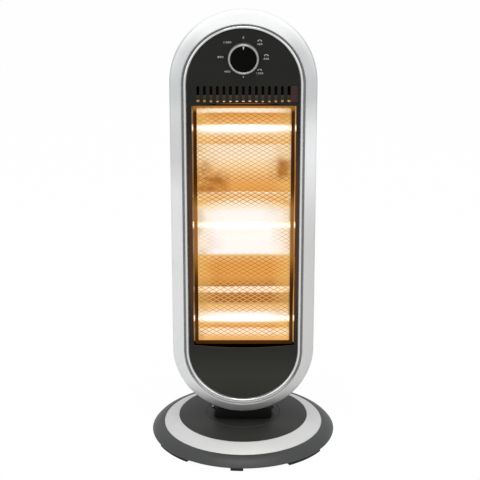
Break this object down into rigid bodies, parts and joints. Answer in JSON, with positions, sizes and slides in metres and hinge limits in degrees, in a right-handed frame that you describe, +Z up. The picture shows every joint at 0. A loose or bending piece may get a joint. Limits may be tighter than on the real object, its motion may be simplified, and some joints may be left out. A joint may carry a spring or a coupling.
{
  "type": "halogen heater",
  "caption": "Tower heater with lit quartz tubes behind an expanded-metal guard in a rounded head that tilts and swivels on a low round base; rotary control.",
  "frame": {"origin": "floor under the centre of the base, on the swivel axis", "axes": "+Z up, front of the heater towards -Y, +X to the right seen from the front"},
  "size_m": [0.2788, 0.2785, 0.6674],
  "materials": {
    "silver_paint": "satin silver paint",
    "bright_trim": "bright",
    "black_panel": "satin black",
    "black_plastic": "fine grain black",
    "dark_plastic": "fine grain charcoal",
    "knob_black": "gloss black",
    "rubber": "matt",
    "nylon": "natural",
    "steel": "zinc plated",
    "iron": "cast",
    "hot_steel": "plated, lit by the lamps",
    "reflector": "polished, lit by the lamps",
    "quartz": "clear, lit",
    "filament": "lit",
    "ceramic": "matt",
    "red_lens": "tinted",
    "white_print": "print"
  },
  "bodies": {
    "base": {"base_shell": "dark_plastic", "base_trim_ring": "silver_paint", "base_plate": "black_plastic", "base_weight": "iron", "foot_pad_1": "rubber", "foot_pad_2": "rubber", "foot_pad_3": "rubber", "foot_pad_4": "rubber", "front_foot": "rubber", "base_screw_1": "steel", "base_screw_2": "steel", "base_screw_3": "steel", "base_screw_4": "steel", "cord_gland": "rubber", "tip_switch": "nylon", "swivel_bearing_ring": "nylon", "swivel_motor": "steel"},
    "tip_plunger": {"tip_plunger": "nylon"},
    "turntable": {"turntable": "black_plastic", "hub_retainer": "steel", "swivel_gear": "nylon", "neck": "black_plastic", "tilt_bolt": "steel", "tilt_nut": "dark_plastic"},
    "pinion": {"swivel_pinion": "nylon"},
    "head": {"front_bezel": "silver_paint", "inner_rim": "bright_trim", "front_panel": "black_panel", "pilot_lens": "red_lens", "grille_frame": "hot_steel", "grille_mesh": "hot_steel", "quartz_tube_1": "quartz", "quartz_tube_2": "quartz", "quartz_tube_3": "quartz", "filament_1": "filament", "filament_2": "filament", "filament_3": "filament", "lamp_cap_1": "ceramic", "lamp_cap_2": "ceramic", "lamp_cap_3": "ceramic", "lamp_cap_4": "ceramic", "lamp_cap_5": "ceramic", "lamp_cap_6": "ceramic", "reflector": "reflector", "lamp_bracket_left": "steel", "lamp_bracket_right": "steel", "rear_shell": "black_plastic", "head_screw_1": "steel", "head_screw_2": "steel", "head_screw_3": "steel", "head_screw_4": "steel", "head_foot": "black_plastic", "heat_shield": "steel", "thermal_cutout": "black_plastic", "terminal_block": "nylon", "rotary_switch": "nylon"},
    "knob": {"knob": "knob_black", "knob_ring": "bright_trim", "knob_pointer": "white_print", "switch_shaft": "steel"}
  },
  "joints": [
    {"name": "swivel", "type": "hinge", "parent": "base", "child": "turntable", "pos_m": [0, 0, 0.0329], "axis": [0, 0, 1], "range_deg": [-37.5, 37.5]},
    {"name": "pinion_spin", "type": "hinge", "parent": "base", "child": "pinion", "pos_m": [0, 0.072, 0.01], "axis": [0, 0, 1], "range_deg": [-187.6, 187.6]},
    {"name": "tilt", "type": "hinge", "parent": "turntable", "child": "head", "pos_m": [0, 0, 0.0421], "axis": [-1, 0, 0], "range_deg": [0, 15]},
    {"name": "knob_turn", "type": "hinge", "parent": "head", "child": "knob", "pos_m": [0, -0.045, 0.599], "axis": [0, -1, 0], "continuous": true},
    {"name": "tip_plunger_slide", "type": "slide", "parent": "base", "child": "tip_plunger", "axis": [0, 0, -1], "range_m": [0, 0.0035], "stiffness_N_per_m": 120, "springref_m": 0.009}
  ],
  "couplings": [
    {"joint": "pinion_spin", "follows": "swivel", "ratio": -5}
  ]
}
